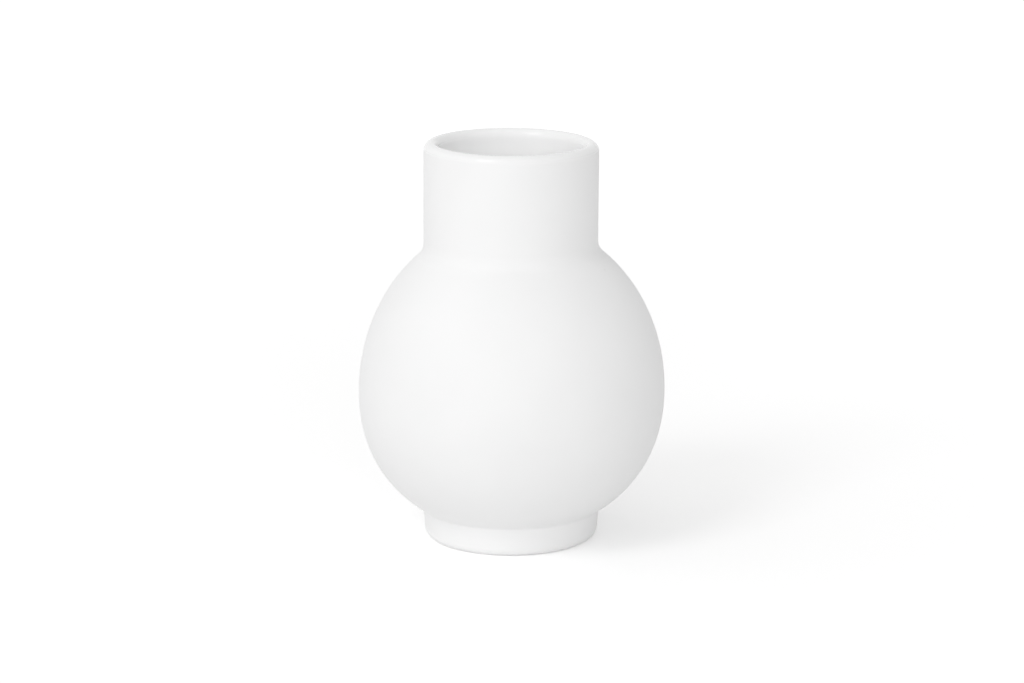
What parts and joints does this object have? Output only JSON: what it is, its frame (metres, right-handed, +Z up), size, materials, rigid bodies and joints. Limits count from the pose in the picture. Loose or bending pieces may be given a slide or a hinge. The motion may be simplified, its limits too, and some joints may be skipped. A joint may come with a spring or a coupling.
{
  "type": "ball vase",
  "caption": "Round-bodied flower vase in white glazed stoneware: hollow, slightly egg-shaped ball on a low foot ring, with a wide straight neck and a rounded lip.",
  "frame": {"origin": "on the axis of the vase, at the surface that it stands on", "axes": "+Z up along the axis; the vase is round, so +X and +Y are any two directions square to it"},
  "size_m": [0.1528, 0.1528, 0.2],
  "materials": {
    "white_glaze": "smooth white glaze, glossy to silky, over pale stoneware that is bare only where the foot stands"
  },
  "bodies": {
    "root": {"foot_ring": "white_glaze", "foot_luting_coil": "white_glaze", "ball_body": "white_glaze", "neck_luting_coil": "white_glaze", "neck_collar": "white_glaze"}
  },
  "joints": []
}
